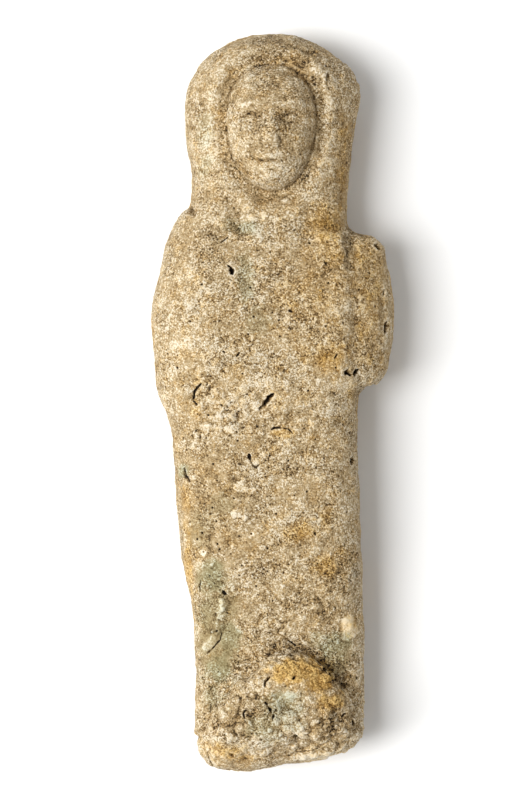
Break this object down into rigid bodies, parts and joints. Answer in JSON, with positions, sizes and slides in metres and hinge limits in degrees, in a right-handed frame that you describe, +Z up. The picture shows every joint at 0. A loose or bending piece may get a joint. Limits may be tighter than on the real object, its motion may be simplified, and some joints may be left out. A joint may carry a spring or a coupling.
{
  "type": "ushabti",
  "caption": "Small worn mummiform figure with a plain wig, pressed together with its low plinth: broad elbows, straight legs, feet under a rounded mound and a flat back.",
  "frame": {"origin": "on the surface it lies on, under the middle of its box", "axes": "+Y from the sole to the crown, +Z up out of the chest, +X towards the figure's own left side"},
  "size_m": [0.028, 0.0848, 0.0156],
  "materials": {
    "faience": "matt, gritty quartz paste with hardly any glaze left"
  },
  "bodies": {
    "root": {"ushabti": "faience"}
  },
  "joints": []
}
